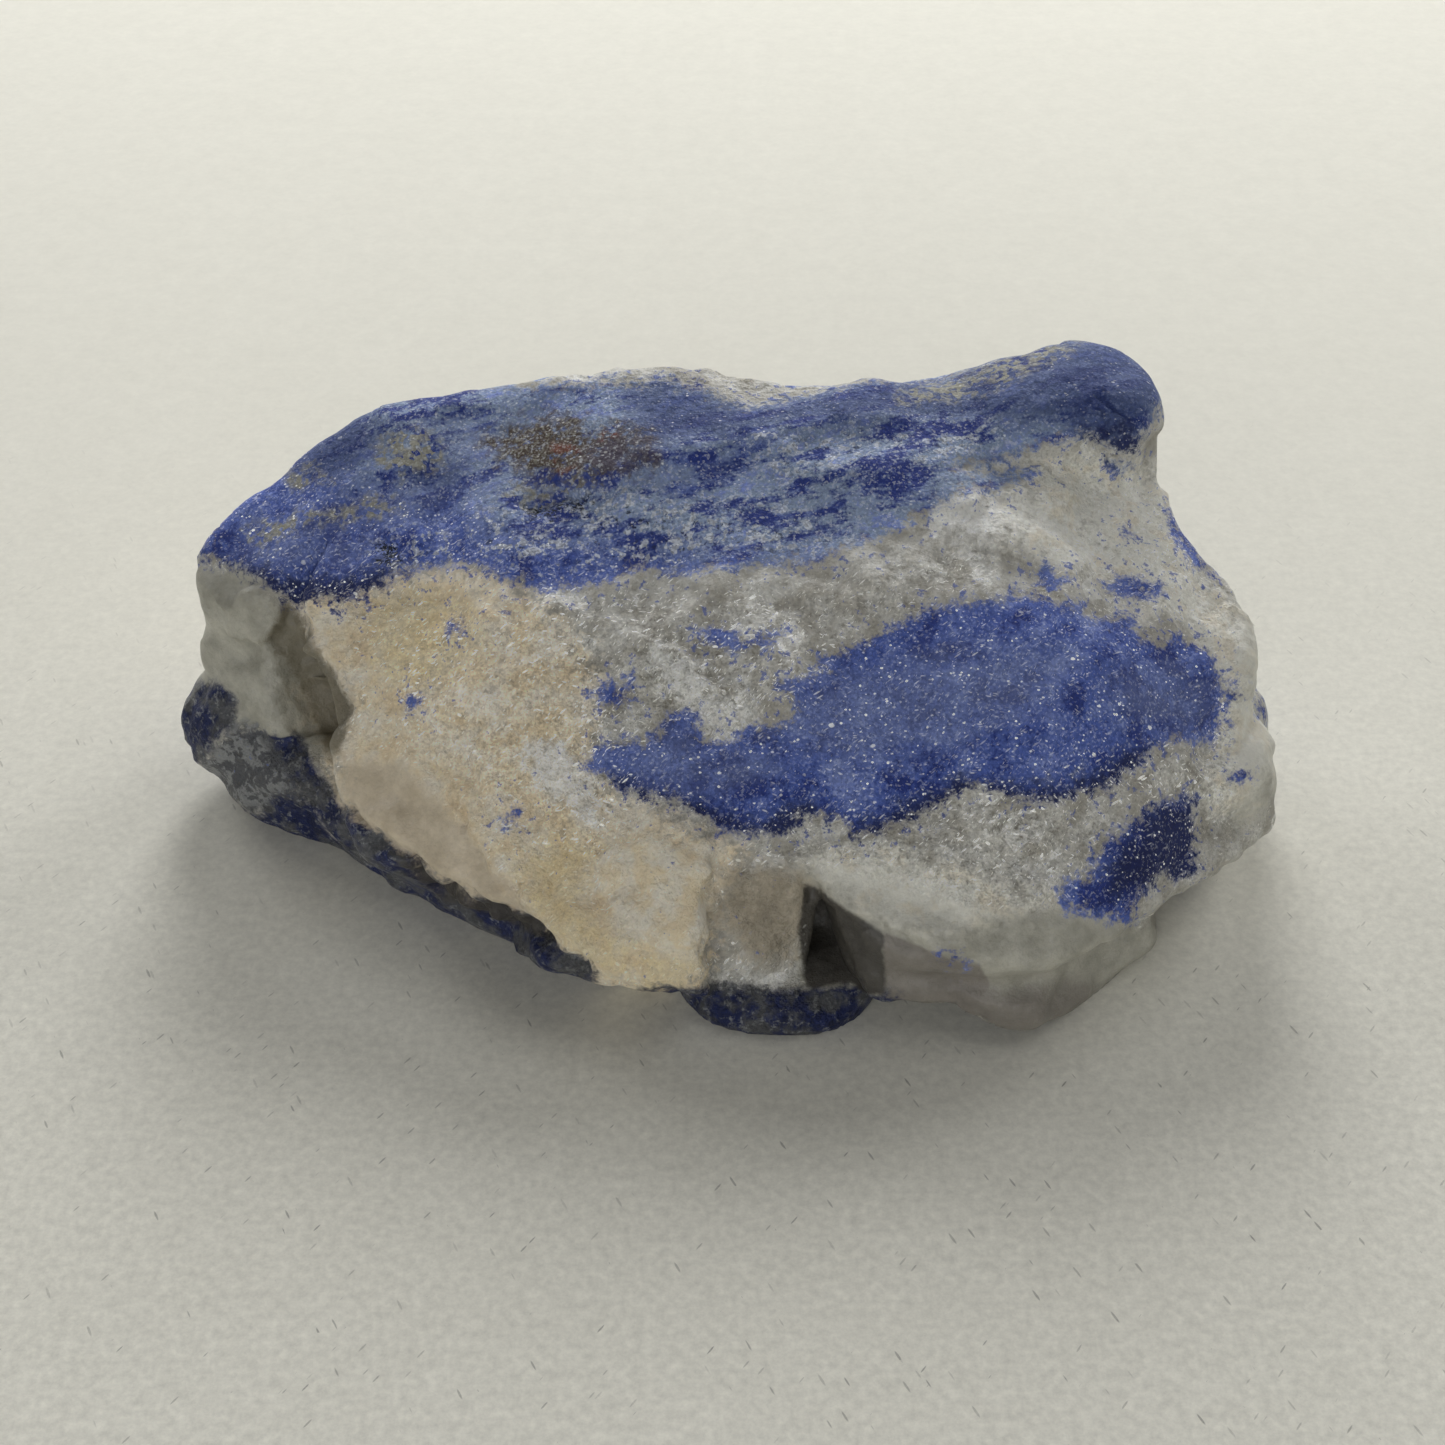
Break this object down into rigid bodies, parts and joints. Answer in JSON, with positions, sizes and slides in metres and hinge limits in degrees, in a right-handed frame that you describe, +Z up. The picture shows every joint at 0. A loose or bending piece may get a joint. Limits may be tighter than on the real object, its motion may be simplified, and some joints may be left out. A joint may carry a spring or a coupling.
{
  "type": "rough dumortierite",
  "caption": "Rough hand specimen of blue dumortierite banded through grey and cream quartz, wedge-shaped, with a flat underside.",
  "frame": {"origin": "on the ground, under the middle of the stone's bounding box", "axes": "+Z up from the flat side it rests on; +X along its length, towards the end with the horn; -Y is the long sloping side with the large blue patch"},
  "size_m": [0.0624, 0.0338, 0.0241],
  "materials": {
    "stone": "rough broken surface, matt with small glints"
  },
  "bodies": {
    "root": {"stone": "stone"}
  },
  "joints": []
}
